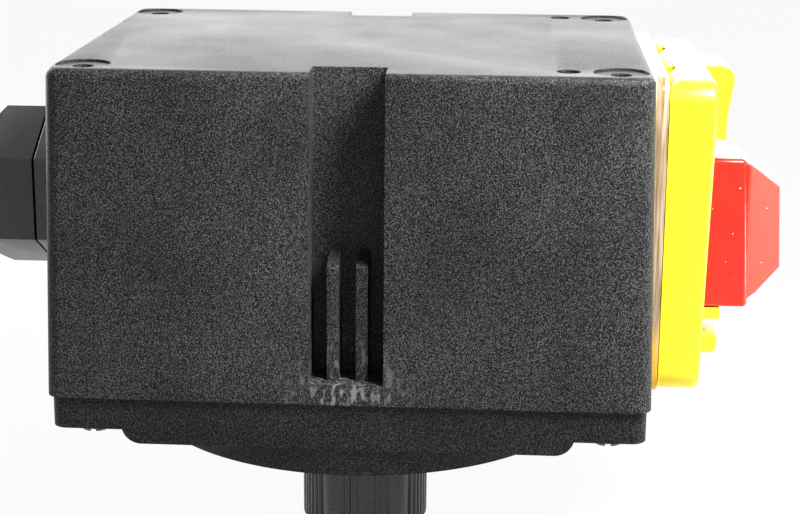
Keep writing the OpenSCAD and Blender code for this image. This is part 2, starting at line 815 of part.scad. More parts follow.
module front_frame() {
    color([0.2, 0.2, 0.21]) difference() {
        union() {
            translate([seal_x, 0, (frame_low + frame_high) / 2])
                x_plate(frame_w, frame_high - frame_low, button_r, frame_t);
            translate([seal_x, 0, start_z]) x_plate(start_w + 2 * (play + well_t), start_h + 2 * (play + well_t),
                button_r + well_t, frame_t + well_h);
            translate([seal_x, 0, stop_z]) x_plate(stop_w + 2 * (play + well_t), stop_h + 2 * (play + well_t),
                button_r + well_t, frame_t + well_h);
            for (sy = [-1, 1]) translate([0, sy * lug_y + lug_w / 2, 0]) rotate([90, 0, 0])
                linear_extrude(lug_w) lug_outline();
        }
        translate([seal_x - over, 0, start_z]) x_plate(start_w + 2 * play, start_h + 2 * play, button_r + play,
            frame_t + well_h + 2 * over);
        translate([seal_x - over, 0, stop_z]) x_plate(stop_w + 2 * play, stop_h + 2 * play, button_r + play,
            frame_t + well_h + 2 * over);
        for (sy = [-1, 1]) translate([seal_x - over, sy * ear_y, body_mid])
            x_rod(ear_screw_r + fit, frame_t + 2 * over);
        translate([hinge_x, lug_y + lug_w, hinge_z]) rotate([90, 0, 0])
            cylinder(r = pin_r + run, h = 2 * (lug_y + lug_w));
    }
}

// A screw along -X: its head starts at the origin and its shank runs inwards
module x_screw(r, l, hr, hh) {
    slot = hr * 0.3;
    difference() {
        x_rod(hr, hh);
        translate([hh * 0.6, -hr, -slot / 2]) cube([hh, 2 * hr, slot]);
    }
    translate([-l, 0, 0]) x_rod(r, l);
}

module frame_screws() {
    color([0.75, 0.75, 0.77]) for (sy = [-1, 1]) translate([frame_x, sy * ear_y, body_mid])
        x_screw(ear_screw_r, ear_screw_l, ear_head_r, ear_head_h);
}

// The lid's shell: a box with rounded edges whose front leans
module lid_form(inset, from_x, drop, edge) {
    r = max(lid_r - inset, edge + fit);
    hull() for (sy = [-1, 1], sz = [-1, 1]) {
        z = body_mid + sz * (lid_h / 2 - inset - r);
        deep = face_x(z) - drop - from_x;
        translate([from_x, sy * (lid_w / 2 - inset - r), z]) rotate([0, 90, 0]) puck(r, edge, deep);
    }
}

// Side view of the tab at the lid's top, in the XZ plane
module tab_outline() {
    r = tab_out / 2;
    top = lid_top - over / 2;
    tip = face_x(lid_top) + tab_out;
    polygon([
        [rim_x + lid_t / 2, top - tab_h], [tip - r * 0.4, top - tab_h],
        [tip - r * 0.4, top - tab_h * 0.7], [tip, top - r],
        for (a = [15 : 15 : 75]) [tip - r + r * cos(a), top - r + r * sin(a)],
        [tip - r, top], [rim_x + lid_t / 2, top]]);
}

// Side view of the finger lip at the lid's foot, in the XZ plane
module lip_outline() {
    r = lip_h * 0.45;
    low = lid_top - lid_h + lip_up;
    tip = face_x(low) + lip_out;
    union() {
        translate([rim_x + lid_t / 2, low + r]) square([tip - rim_x - lid_t / 2, lip_h - r]);
        translate([rim_x + lid_t / 2, low]) square([tip - rim_x - lid_t / 2 - r, lip_h]);
        translate([tip - r, low + r]) circle(r = r);
    }
}

module lid() {
    guard_gap = pad_h / 2 + play;
    color([0.98, 0.92, 0.2]) difference() {
        union() {
            difference() {
                lid_form(0, rim_x, 0, lid_edge);
                difference() {
                    lid_form(lid_wall, rim_x - over, lid_skin, lid_edge / 2);
                    translate([rim_x, -bar_w / 2, lid_top - bar_h]) cube([lid_t, bar_w, bar_h]);
                }
            }
            rotate([90, 0, 0]) linear_extrude(band_w, center = true) tab_outline();
            rotate([90, 0, 0]) linear_extrude(band_w, center = true) lip_outline();
            translate([rim_x + lid_t / 2, -band_w / 2, pad_mid - guard_gap - guard_t])
                cube([lid_t / 2 - lid_lean / 2 + guard_out, band_w, guard_t]);
        }
        rotate([90, 0, 0]) linear_extrude(lid_w + 2 * over, center = true) difference() {
            translate([rim_x - over, hinge_z]) square([hinge_in + over, hinge_down + over]);
            translate([hinge_x, hinge_z]) circle(r = hinge_turn_r, $fn = 96);
        }
        translate([recess_x, 0, pad_mid])
            x_plate(band_w + 2 * play, pad_h + 2 * play, pad_edge + play, front_x - recess_x + over);
        for (sy = [-1, 1]) translate([0, sy * lug_y + lug_w / 2 + play, 0]) rotate([90, 0, 0])
            linear_extrude(lug_w + 2 * play) lug_path();
        translate([hinge_x, bar_w / 2 + over, hinge_z]) rotate([90, 0, 0])
            cylinder(r = pin_r + run, h = bar_w + 2 * over);
        translate([lid_room_x - over, 0, stop_z]) x_rod(stem_r + 2 * fit, lid_t);
    }
}

// The space in the hinge bar that a lug and its neck pass through
module lug_path() {
    reach = lid_t;
    union() {
        translate([hinge_x, hinge_z]) circle(r = lug_r + play);
        polygon([[hinge_x, hinge_z],
            for (a = [sweep_in, 150, 180, 210, 240, sweep_out])
                [hinge_x + reach * cos(a), hinge_z + reach * sin(a)],
            [hinge_x + lug_r + play, hinge_z - reach], [hinge_x + lug_r + play, hinge_z]]);
    }
}

module hinge_pin() {
    color([0.75, 0.75, 0.77]) translate([hinge_x, pin_l / 2, hinge_z]) rotate([90, 0, 0])
        cylinder(r = pin_r, h = pin_l);
}

// A thin slice of the pad's front, in shares of the pad's width and height
module pad_slice(x, w_share, h_share) {
    translate([x, 0, 0]) x_plate(band_w * w_share, pad_h * h_share, pad_edge / 2, run);
}

// The peak on the pad's front: a sloping rim, then the tapered block
module peak() {
    rim_w_share = 1 - 2 * pad_edge / band_w;
    rim_h_share = 1 - 2 * pad_edge / pad_h;
    rise = peak_t * rise_share;
    hull() {
        pad_slice(pad_t - run, rim_w_share, rim_h_share);
        pad_slice(pad_t + rise, foot_w_share, peak_low_share);
    }
    hull() {
        pad_slice(pad_t + rise, foot_w_share, peak_low_share);
        pad_slice(pad_t + peak_t - run, end_w_share, peak_high_share);
    }
}

module pad_block() {
    e = pad_edge;
    lean = pad_h / 2 * tan(pad_lean);
    hull() for (sy = [-1, 1], sz = [-1, 1]) {
        translate([0, sy * (band_w / 2 - e), sz * (pad_h / 2 - e)]) rotate([0, 90, 0]) cylinder(r = e, h = e, $fn = 24);
        translate([pad_t - e - sz * lean, sy * (band_w / 2 - e), sz * (pad_h / 2 - e)]) sphere(r = e, $fn = 24);
    }
}

module stop_pad() {
    color([0.93, 0.2, 0.14]) union() {
        difference() {
            union() {
                translate([pad_back, 0, pad_mid]) pad_block();
                translate([pad_back, 0, pad_mid]) rotate([0, -pad_lean, 0]) peak();
            }
            translate([pad_back - over, 0, stop_z]) x_rod(pocket_r, over + pocket_d);
        }
        translate([stem_end, 0, stop_z]) x_rod(stem_r, clip_x - run - stem_end);
        translate([stem_end, 0, stop_z]) x_rod(neck_r, clip_x - stem_end + over);
        translate([clip_x + clip_t + run, 0, stop_z])
            x_rod(stem_r, pad_back + pocket_d + over / 2 - clip_x - clip_t);
    }
}

module stop_pad_spring() {
    from = recess_x + run;
    color([0.7, 0.7, 0.72]) translate([from, 0, stop_z])
        coil((stem_r + pocket_r) / 2, spring_wire_r, pad_back + pocket_d - from - run, spring_turns);
}

// A spring clip with a mouth, in the groove of the pad's stem
module stop_pad_clip() {
    color([0.6, 0.6, 0.62]) translate([clip_x, 0, stop_z]) difference() {
        x_rod(clip_r, clip_t);
        translate([-over, 0, 0]) x_rod(neck_r + run, clip_t + 2 * over);
        translate([-over, -neck_r * 0.8, -clip_r - over]) cube([clip_t + 2 * over, neck_r * 1.6, clip_r + over]);
    }
}

// A push button: its cap and its shaft
module button(w, h, back, face, z, shaft_end) {
    translate([back, 0, z]) x_plate(w, h, button_r, face - back);
    translate([shaft_end, 0, z]) x_rod(shaft_r, back + over / 2 - shaft_end);
}

module start_button() {
    color([0.2, 0.6, 0.28]) button(start_w, start_h, start_back, start_face, start_z, carrier_x + carrier_t + fit);
}

// The inner stop button, with the bridge that its shaft carries
module stop_button() {
    color([0.85, 0.2, 0.15]) button(stop_w, stop_h, stop_back, stop_face, stop_z, cutout_x + strip_t);
    color([0.8, 0.55, 0.3]) translate([cutout_x, -cutout_y - cutout_w / 2, stop_z - cutout_w / 2])
        cube([strip_t, 2 * cutout_y + cutout_w, cutout_w]);
}

module start_spring() {
    color([0.7, 0.7, 0.72]) translate([spring_floor + run, 0, start_z])
        coil(spring_r, spring_wire_r, start_back - spring_floor - 2 * run, spring_turns);
}

module stop_spring() {
    color([0.7, 0.7, 0.72]) translate([spring_floor + run, 0, stop_z])
        coil(spring_r, spring_wire_r, stop_back - spring_floor - 2 * run, spring_turns);
}

// Children at the four base screws
module at_base_screws() {
    for (sy = [-1, 1], sz = [-1, 1])
        translate([0, sy * (body_w / 2 - base_post_in), body_mid + sz * (body_h / 2 - base_post_in)]) children();
}

module switch_body() {
    rear = body_back + base_t;
    color([0.22, 0.22, 0.24]) difference() {
        union() {
            translate([rear, 0, body_mid]) x_plate(body_w, body_h, button_r, body_x - rear);
            translate([body_x - over, 0, body_mid]) x_plate(spigot, spigot, button_r, seal_x - body_x + over);
            for (sy = [-1, 1]) translate([body_x - ear_t, sy * ear_y, body_mid])
                x_plate(2 * ear_head_r, ear_h, button_r, ear_t);
        }
        difference() {
            translate([rear - over, 0, body_mid])
                x_plate(body_w - 2 * body_t, body_h - 2 * body_t, button_r, front_in - rear + over);
            translate([rear, 0, 0]) at_base_screws() x_rod(base_post_r, base_screw_l);
        }
        translate([rear - over, 0, 0]) at_base_screws() x_rod(base_screw_r + fit, base_screw_l + over);
        translate([pocket_x, 0, start_z])
            x_plate(start_w + 2 * play, start_h + 2 * play, button_r + play, seal_x - pocket_x + over);
        translate([pocket_x, 0, stop_z])
            x_plate(stop_w + 2 * play, stop_h + 2 * play, button_r + play, seal_x - pocket_x + over);
        for (z = [start_z, stop_z]) {
            translate([spring_floor, 0, z]) x_rod(spring_seat_r, pocket_x - spring_floor + over);
            translate([front_in - over, 0, z]) x_rod(shaft_r + 2 * fit, spring_floor - front_in + 2 * over);
        }
        for (sy = [-1, 1]) translate([body_x - ear_t - over, sy * ear_y, body_mid])
            x_rod(ear_screw_r + fit, ear_t + 2 * over);
    }
}

// Children once for each of the six fixed contacts: pole and end
module at_poles() {
    for (p = [-1 : 1]) translate([0, p * pole_gap, 0]) children();
}

// The slots for all strips that pass through the base
module strip_slots(gap) {
    at_poles() for (s = [-1, 1])
        translate([body_back - over, -strip_w / 2 - gap, contact_z + s * (tip_out - strip_t / 2) - strip_t / 2 - gap])
            cube([base_t + 2 * over, strip_w + 2 * gap, strip_t + 2 * gap]);
    for (sy = [-1, 1]) translate([body_back - over, sy * cutout_y - cutout_w / 2 - gap, cutout_low - gap])
        cube([base_t + 2 * over, cutout_w + 2 * gap, cutout_t + 2 * gap]);
}

module switch_base() {
    color([0.25, 0.22, 0.2]) difference() {
        translate([body_back, 0, body_mid]) x_plate(body_w, body_h, button_r, base_t);
        strip_slots(fit);
        translate([body_back - over, 0, 0]) at_base_screws() x_rod(base_screw_r + fit, base_t + 2 * over);
    }
}

module base_screws() {
    color([0.75, 0.75, 0.77]) translate([body_back, 0, 0]) at_base_screws() mirror([1, 0, 0])
        x_screw(base_screw_r, base_screw_l, base_head_r, base_head_h);
}

// The magnet's core: three legs on one back, stamped sheets in the real thing
module magnet_core() {
    color([0.5, 0.5, 0.52]) translate([core_x, 0, core_z - core_h / 2]) linear_extrude(core_h) union() {
        translate([0, -core_w / 2]) square([core_t, core_w]);
        translate([0, -leg_w / 2]) square([leg_l, leg_w]);
        for (sy = [-1, 1]) translate([0, sy * (core_w - side_leg_w) / 2 - side_leg_w / 2])
            square([leg_l, side_leg_w]);
    }
}

module coil_bobbin() {
    inner_w = leg_w + 2 * play;
    inner_h = core_h + 2 * play;
    long = leg_l - core_t - play;
    color([0.85, 0.85, 0.8]) translate([core_x + core_t + fit, 0, core_z]) difference() {
        union() {
            x_plate(inner_w + 2 * bobbin_t, inner_h + 2 * bobbin_t, button_r, long);
            for (x = [0, long - bobbin_t]) translate([x, 0, 0])
                x_plate(leg_w + 2 * bobbin_out, core_h + 2 * bobbin_out, button_r, bobbin_t);
        }
        translate([-over, -inner_w / 2, -inner_h / 2]) cube([long + 2 * over, inner_w, inner_h]);
    }
}

module coil_winding() {
    inner_w = leg_w + 2 * play + 2 * bobbin_t + 2 * fit;
    inner_h = core_h + 2 * play + 2 * bobbin_t + 2 * fit;
    long = leg_l - core_t - play - 2 * bobbin_t - 2 * fit;
    color([0.75, 0.4, 0.2]) translate([core_x + core_t + 2 * fit + bobbin_t, 0, core_z]) difference() {
        x_plate(leg_w + 2 * winding_out, core_h + 2 * winding_out, 2 * button_r, long);
        translate([-over, 0, 0]) x_plate(inner_w, inner_h, button_r, long + 2 * over);
    }
}

module armature() {
    color([0.5, 0.5, 0.52]) difference() {
        translate([armature_x, -core_w / 2, core_z - armature_h / 2]) cube([armature_t, core_w, armature_h]);
        for (sy = [-1, 1]) translate([armature_x - over, sy * arm_y, core_z + arm_low + arm_w / 4])
            x_rod(peg_r + run, armature_t + 2 * over);
    }
}

// The carrier: a plate that the start button pushes, two arms with pegs for the
// armature, and one post with a window for each moving contact
module contact_carrier() {
    arm_x = armature_x + armature_t;
    color([0.3, 0.28, 0.24]) difference() {
        union() {
            translate([carrier_x, 0, carrier_z]) x_plate(carrier_w, carrier_h, button_r, carrier_t);
            translate([bridge_x - 1.8, 0, contact_z]) at_poles()
                translate([0, -post_w / 2, -post_h / 2]) cube([carrier_x - bridge_x + 1.8 + over, post_w, post_h]);
            for (sy = [-1, 1]) {
                translate([arm_x, sy * arm_y - arm_w / 2, core_z + arm_low])
                    cube([carrier_x - arm_x + carrier_t / 2, arm_w, carrier_z - carrier_h / 2 + over - core_z - arm_low]);
                translate([armature_x, sy * arm_y, core_z + arm_low + arm_w / 4])
                    x_rod(peg_r, arm_x - armature_x + over);
            }
        }
        translate([bridge_x, 0, contact_z]) at_poles()
            translate([0, -strip_w / 2 - fit, -post_h]) cube([window_end - bridge_x, strip_w + 2 * fit, 2 * post_h]);
    }
}

module moving_contacts() {
    color([0.8, 0.55, 0.3]) translate([bridge_x, 0, contact_z]) at_poles() {
        translate([0, -strip_w / 2, -bridge_l / 2]) cube([strip_t, strip_w, bridge_l]);
        for (s = [-1, 1]) translate([-contact_t, 0, s * (tip_in + contact_r + fit)]) x_rod(contact_r, contact_t);
    }
}

module contact_springs() {
    color([0.7, 0.7, 0.72]) translate([bridge_x + strip_t + run, 0, contact_z]) at_poles()
        coil(small_coil_r, small_wire_r, window_end - bridge_x - strip_t - 2 * run, spring_turns);
}

module fixed_contacts() {
    color([0.8, 0.55, 0.3]) at_poles() for (s = [0, 1]) translate([0, 0, contact_z]) mirror([0, 0, s]) {
        translate([body_back, -strip_w / 2, tip_out - strip_t])
            cube([fixed_x + strip_t - body_back, strip_w, strip_t]);
        translate([fixed_x, -strip_w / 2, tip_in]) cube([strip_t, strip_w, tip_out - tip_in]);
        translate([fixed_x + strip_t, 0, tip_in + contact_r + fit]) x_rod(contact_r, contact_t);
    }
}

// The two strips that the stop button's bridge rests against
module cutout_contacts() {
    foot_x = front_in - fit;
    color([0.8, 0.55, 0.3]) for (sy = [-1, 1]) translate([0, sy * cutout_y - cutout_w / 2, 0]) {
        translate([body_back, 0, cutout_low]) cube([foot_x - body_back, cutout_w, cutout_t]);
        translate([foot_x - cutout_t + run, 0, cutout_low])
            cube([cutout_t - run, cutout_w, stop_z + cutout_w / 2 - cutout_low]);
    }
}

// Children at each terminal behind the base, upper and lower
module at_terminals() {
    for (z = [term_z_upper, term_z_lower]) translate([body_back, 0, z]) at_poles() children();
    for (sy = [-1, 1]) translate([body_back, sy * cutout_y, cutout_low + cutout_t / 2]) children();
}

module terminal_blocks() {
    color([0.8, 0.65, 0.35]) at_terminals() difference() {
        translate([-block_l, -block_w / 2, -block_h / 2]) cube([block_l, block_w, block_h]);
        translate([-block_l - over, 0, 0]) x_rod(earth_wire_r, block_l * 0.7 + over);
        translate([-block_l / 2, 0, 0]) cylinder(r = term_screw_r + run, h = block_h);
    }
}

// A screw standing on a terminal, its shank reaching down to the wire hole
module term_screw() {
    slot = term_head_r * 0.3;
    difference() {
        cylinder(r = term_head_r, h = term_head_h);
        translate([-slot / 2, -term_head_r, term_head_h * 0.6]) cube([slot, 2 * term_head_r, term_head_h]);
    }
    translate([0, 0, -block_h / 2 + earth_wire_r]) cylinder(r = term_screw_r, h = block_h / 2 - earth_wire_r);
}

module terminal_screws() {
    color([0.75, 0.75, 0.77]) at_terminals() translate([-block_l / 2, 0, block_h / 2]) term_screw();
}

module earth_terminal() {
    top = top_z - wall - earth_boss_h;
    color([0.8, 0.65, 0.35]) difference() {
        translate([earth_x - earth_l / 2, -earth_w / 2, top - earth_h]) cube([earth_l, earth_w, earth_h]);
        translate([earth_x - earth_l / 2 - over, 0, top - earth_h / 2]) x_rod(earth_wire_r, earth_l / 3 + over);
        translate([earth_x, 0, top - earth_h - over]) cylinder(r = term_screw_r + run, h = earth_h + 2 * over);
    }
}

module earth_screw() {
    top = top_z - wall - earth_boss_h;
    color([0.75, 0.75, 0.77]) translate([earth_x, 0, top - earth_h]) {
        cylinder(r = term_screw_r - run, h = earth_h + earth_boss_h - play);
        mirror([0, 0, 1]) cylinder(r = term_head_r, h = term_head_h);
    }
}

housing();
cover();
cover_gasket();
cover_screws();
side_gland_body();
side_gland_washer();
side_gland_bush();
side_gland_nut();
side_gland_locknut();
flange_gland_bush();
flange_gland_nut();
clear_seal();
front_frame();
frame_screws();
lid();
hinge_pin();
stop_pad();
stop_pad_spring();
stop_pad_clip();
start_button();
start_spring();
stop_button();
stop_spring();
switch_body();
switch_base();
base_screws();
magnet_core();
coil_bobbin();
coil_winding();
armature();
contact_carrier();
moving_contacts();
contact_springs();
fixed_contacts();
terminal_blocks();
terminal_screws();
cutout_contacts();
earth_terminal();
earth_screw();
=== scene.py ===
# %% [markdown]
# # A push-button switch box for a concrete mixer
# The real thing is a black plastic box with a hinged yellow lid and a red stop pad at one end, a cable
# gland at the other, and a cover with a round flange and a ribbed nut underneath. Its pieces come from a
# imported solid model, which this script loads as a fixed frame. The script gives each piece its softened
# edges, its finish and its wear, and then sets up the light and the camera.

# %% Load the frame
import json
import math

import bmesh
import bpy
from mathutils import Matrix, Vector


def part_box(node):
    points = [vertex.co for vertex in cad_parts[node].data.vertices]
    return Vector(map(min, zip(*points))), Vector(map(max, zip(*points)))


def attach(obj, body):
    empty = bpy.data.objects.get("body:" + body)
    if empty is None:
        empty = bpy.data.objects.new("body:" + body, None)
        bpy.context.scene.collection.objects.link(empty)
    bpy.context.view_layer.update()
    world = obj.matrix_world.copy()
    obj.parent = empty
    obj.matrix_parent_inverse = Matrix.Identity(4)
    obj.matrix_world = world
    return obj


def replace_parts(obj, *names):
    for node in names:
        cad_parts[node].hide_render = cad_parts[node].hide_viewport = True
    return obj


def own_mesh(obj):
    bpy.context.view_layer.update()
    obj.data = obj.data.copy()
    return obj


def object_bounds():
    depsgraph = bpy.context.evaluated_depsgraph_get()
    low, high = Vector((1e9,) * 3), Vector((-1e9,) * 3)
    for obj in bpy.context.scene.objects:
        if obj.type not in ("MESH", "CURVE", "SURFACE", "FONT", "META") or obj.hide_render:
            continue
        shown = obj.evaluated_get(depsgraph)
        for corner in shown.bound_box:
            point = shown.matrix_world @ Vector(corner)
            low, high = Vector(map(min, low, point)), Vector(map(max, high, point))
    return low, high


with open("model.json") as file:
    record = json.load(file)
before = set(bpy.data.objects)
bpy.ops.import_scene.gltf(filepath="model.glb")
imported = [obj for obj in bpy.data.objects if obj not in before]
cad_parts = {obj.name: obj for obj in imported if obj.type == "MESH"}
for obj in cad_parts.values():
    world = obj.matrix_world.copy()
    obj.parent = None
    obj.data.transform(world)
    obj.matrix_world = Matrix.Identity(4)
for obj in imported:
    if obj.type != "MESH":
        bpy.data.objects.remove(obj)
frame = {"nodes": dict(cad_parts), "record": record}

cad_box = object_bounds()
MM = 0.001
print("pieces in the frame:", len(frame["nodes"]))

# %% [markdown]
# ## The camera
# The photograph is taken from a little above, with a long lens close to the box, so its upright edges
# stay almost parallel. The lens and place were worked out from the six corners of the case. The focal
# length is kept in pixels of the photograph and turned into millimetres of a 36 mm sensor.

# %% Set up the camera
PHOTO_WIDTH_PX = 800
FOCAL_PX = 1842
SENSOR_WIDTH = 36.0
camera_place = Vector((28.6, -354.3, 124.1)) * MM
camera_yaw = math.radians(-3.52)
camera_pitch = math.radians(14.85)
camera_roll = math.radians(0.45)


def camera_matrix(place, yaw, pitch, roll):
    """The pose of a camera that looks along +Y when all its angles are zero."""
    forward = Vector((math.sin(yaw) * math.cos(pitch), math.cos(yaw) * math.cos(pitch), -math.sin(pitch)))
    level_right = Vector((math.cos(yaw), -math.sin(yaw), 0))
    level_up = level_right.cross(forward)
    right = level_right * math.cos(roll) + level_up * math.sin(roll)
    up = level_up * math.cos(roll) - level_right * math.sin(roll)
    turn = Matrix((right, up, -forward)).transposed()
    return Matrix.Translation(place) @ turn.to_4x4()


camera_data = bpy.data.cameras.new("camera")
camera_data.sensor_width = SENSOR_WIDTH
camera_data.lens = SENSOR_WIDTH * FOCAL_PX / PHOTO_WIDTH_PX
camera_data.clip_start = 10 * MM
camera = bpy.data.objects.new("camera", camera_data)
camera.matrix_world = camera_matrix(camera_place, camera_yaw, camera_pitch, camera_roll)
bpy.context.scene.collection.objects.link(camera)
bpy.context.scene.camera = camera
print("lens in mm:", round(camera_data.lens, 1))

# %% [markdown]
# ## Helpers for materials
# A material here is a small graph of nodes. Most of them start from the same place: a grain that
# follows the piece in real millimetres, so that a screw and the case have grain of the same size.

# %% Helpers for shader nodes


def new_material(name, roughness, metallic=0.0, specular=0.5):
    """A material with its graph and its shader. The even values sit on the shader's own sockets."""
    made = bpy.data.materials.new(name)
    made.use_nodes = True
    shader = made.node_tree.nodes["Principled BSDF"]
    shader.inputs["Roughness"].default_value = roughness
    shader.inputs["Metallic"].default_value = metallic
    shader.inputs["Specular IOR Level"].default_value = specular
    return made, made.node_tree, shader


def add_node(tree, kind, **values):
    """A node of that kind, with its inputs or properties set by name."""
    made = tree.nodes.new(kind)
    for name, value in values.items():
        label = name.replace("_", " ").title()
        if label in made.inputs:
            made.inputs[label].default_value = value
        else:
            setattr(made, name, value)
    return made


def math_node(tree, operation, first, second=0.0, third=0.0, clamp=False):
    """The output of one sum, product or comparison."""
    made = tree.nodes.new("ShaderNodeMath")
    made.operation = operation
    made.use_clamp = clamp
    for socket, value in zip(made.inputs, (first, second, third)):
        if isinstance(value, (int, float)):
            socket.default_value = value
        else:
            tree.links.new(value, socket)
    return made.outputs[0]


def place_in_mm(tree, stretch=(1, 1, 1), turn=(0, 0, 0)):
    """Where a point lies on the piece, in millimetres, stretched along each axis and then turned."""
    where = tree.nodes.new("ShaderNodeTexCoord")
    scaled = tree.nodes.new("ShaderNodeMapping")
    scaled.inputs["Scale"].default_value = [share / MM for share in stretch]
    scaled.inputs["Rotation"].default_value = turn
    tree.links.new(where.outputs["Object"], scaled.inputs["Vector"])
    return scaled.outputs["Vector"]


def noise_at(tree, where, size_mm, detail=2.0, roughness=0.5):
    """A smooth random value whose bumps are about size_mm across."""
    made = add_node(tree, "ShaderNodeTexNoise", scale=1 / size_mm, detail=detail, roughness=roughness)
    tree.links.new(where, made.inputs["Vector"])
    return made.outputs["Fac"]


def remap(tree, value, low, high, to_low=0.0, to_high=1.0):
    """value moved from one range to another, and held there."""
    made = tree.nodes.new("ShaderNodeMapRange")
    for socket, start in zip(list(made.inputs)[1:5], (low, high, to_low, to_high)):
        socket.default_value = start
    tree.links.new(value, made.inputs[0])
    return made.outputs[0]


def blend_colours(tree, share, first, second):
    """first where share is 0 and second where it is 1. Each is a colour or an output."""
    made = tree.nodes.new("ShaderNodeMix")
    made.data_type = "RGBA"
    if isinstance(share, (int, float)):
        made.inputs["Factor"].default_value = share
    else:
        tree.links.new(share, made.inputs["Factor"])
    for socket, value in ((made.inputs[6], first), (made.inputs[7], second)):
        if isinstance(value, tuple):
            socket.default_value = (*value, 1)
        else:
            tree.links.new(value, socket)
    return made.outputs[2]


def bump_into(tree, shader, height, depth_mm, strength=1.0):
    """Raises the surface by height times depth_mm, in the shading only."""
    made = add_node(tree, "ShaderNodeBump", strength=strength, distance=depth_mm * MM)
    tree.links.new(height, made.inputs["Height"])
    tree.links.new(made.outputs["Normal"], shader.inputs["Normal"])


print("material helpers ready")

# %% [markdown]
# ## The black moulded plastic
# The case is filled nylon, sprayed out of a mould with a fine spark-eroded texture. Close up it is a
# field of grey specks on black, about a quarter of a millimetre wide, with some dust and slow patches.
# One colour would look like painted wood, so the grain drives both the colour and the surface.

# %% Make the black plastics
# Turned by these angles in radians, no wall lies along the noise's own grid, where it would show bands
GRAIN_TURN = (0.7, 0.5, 0.9)
SCUFF_GREY = (0.17, 0.17, 0.165)


def black_plastic(name, dark, light, roughness, grain_mm=0.25, depth_mm=0.06, patches=0.25, specular=0.12,
                  scuff=None):
    """Black plastic with specks between two greys. scuff is the middle of a rubbed place and its reach."""
    made, tree, shader = new_material(name, roughness, specular=specular)
    where = place_in_mm(tree, turn=GRAIN_TURN)
    specks = noise_at(tree, where, grain_mm, 3.0, 0.7)
    slow = noise_at(tree, where, 18.0, 2.0)
    share = remap(tree, specks, 0.48, 0.65)
    tone = remap(tree, slow, 0.3, 0.7, 1 - patches, 1 + patches)
    share = math_node(tree, "MULTIPLY", share, tone, clamp=True)
    colour = blend_colours(tree, share, dark, light)
    if scuff:
        centre, reach_mm = scuff
        away = add_node(tree, "ShaderNodeVectorMath", operation="DISTANCE")
        tree.links.new(place_in_mm(tree), away.inputs[0])
        away.inputs[1].default_value = centre
        near = remap(tree, away.outputs["Value"], reach_mm, 0.0)
        rubbed = noise_at(tree, place_in_mm(tree, (1, 1, 0.4)), 0.9, 3.0)
        marks = math_node(tree, "MULTIPLY", near, remap(tree, rubbed, 0.53, 0.62), clamp=True)
        colour = blend_colours(tree, marks, colour, SCUFF_GREY)
    tree.links.new(colour, shader.inputs["Base Color"])
    rough = remap(tree, slow, 0.3, 0.7, roughness - 0.04, roughness + 0.06)
    tree.links.new(rough, shader.inputs["Roughness"])
    bump_into(tree, shader, specks, depth_mm)
    return made


SLOT_FOOT = (0, -42, 15)
SCUFF_REACH = 13
case_black = black_plastic("case_black", (0.003, 0.003, 0.003), (0.090, 0.092, 0.090), 0.42,
                           scuff=(SLOT_FOOT, SCUFF_REACH))
cover_black = black_plastic("cover_black", (0.002, 0.002, 0.002), (0.050, 0.052, 0.050), 0.42)
gland_black = black_plastic("gland_black", (0.006, 0.006, 0.005), (0.050, 0.051, 0.047), 0.26,
                            depth_mm=0.02, specular=0.5)
switch_grey = black_plastic("switch_grey", (0.020, 0.020, 0.022), (0.060, 0.060, 0.064), 0.45, depth_mm=0.02)
print("black plastics:", [m.name for m in (case_black, cover_black, gland_black, switch_grey)])

# %% [markdown]
# ## The coloured plastics
# The lid, the stop pad and the start button are glossy. A glossy moulding still isn't a mirror: it
# has a faint orange peel from the mould, and fine dust that dulls it here and there. The tapered block of
# the red pad is painted a paler red than the rest, a painted reflection standing for the sheen on its
# leaning face, so one material changes colour where that block starts.

# %% Make the coloured plastics
DUST_SPACING_MM = 2.2
DUST_COLOUR = (0.9, 0.9, 0.88)
SHEEN_BLEND_HALF = 0.4


def glossy_plastic(name, colour, shade, roughness, peel_mm=1.6, depth_mm=0.012, dust=0.25, painted_sheen=None):
    """Glossy plastic with a faint orange peel and dust. The last argument is a paler painted sheen and where it
    starts.
    """
    made, tree, shader = new_material(name, roughness, specular=0.3)
    shader.inputs["Coat Weight"].default_value = 0.3
    shader.inputs["Coat Roughness"].default_value = 0.08
    where = place_in_mm(tree)
    slow = noise_at(tree, where, 9.0, 3.0)
    fine = noise_at(tree, where, 0.35, 2.0)
    peel = noise_at(tree, where, peel_mm, 1.0)
    tone = remap(tree, slow, 0.35, 0.75)
    body = blend_colours(tree, tone, colour, shade)
    # Painted reflection: past start_mm along X the colour turns paler, the sheen of a leaning face painted into
    # the colour
    if painted_sheen:
        sheen_colour, start_mm = painted_sheen
        split = tree.nodes.new("ShaderNodeSeparateXYZ")
        tree.links.new(where, split.inputs[0])
        painted_sheen_share = remap(tree, split.outputs["X"], start_mm - SHEEN_BLEND_HALF, start_mm + SHEEN_BLEND_HALF)
        body = blend_colours(tree, painted_sheen_share, body, sheen_colour)
    specks = add_node(tree, "ShaderNodeTexVoronoi", scale=1 / DUST_SPACING_MM)
    tree.links.new(where, specks.inputs["Vector"])
    dots = remap(tree, specks.outputs["Distance"], 0.05, 0.035, 0.0, dust)
    body = blend_colours(tree, dots, body, DUST_COLOUR)
    tree.links.new(body, shader.inputs["Base Color"])
    tree.links.new(remap(tree, fine, 0.3, 0.8, roughness - 0.04, roughness + 0.08), shader.inputs["Roughness"])
    bump_into(tree, shader, peel, depth_mm)
    return made


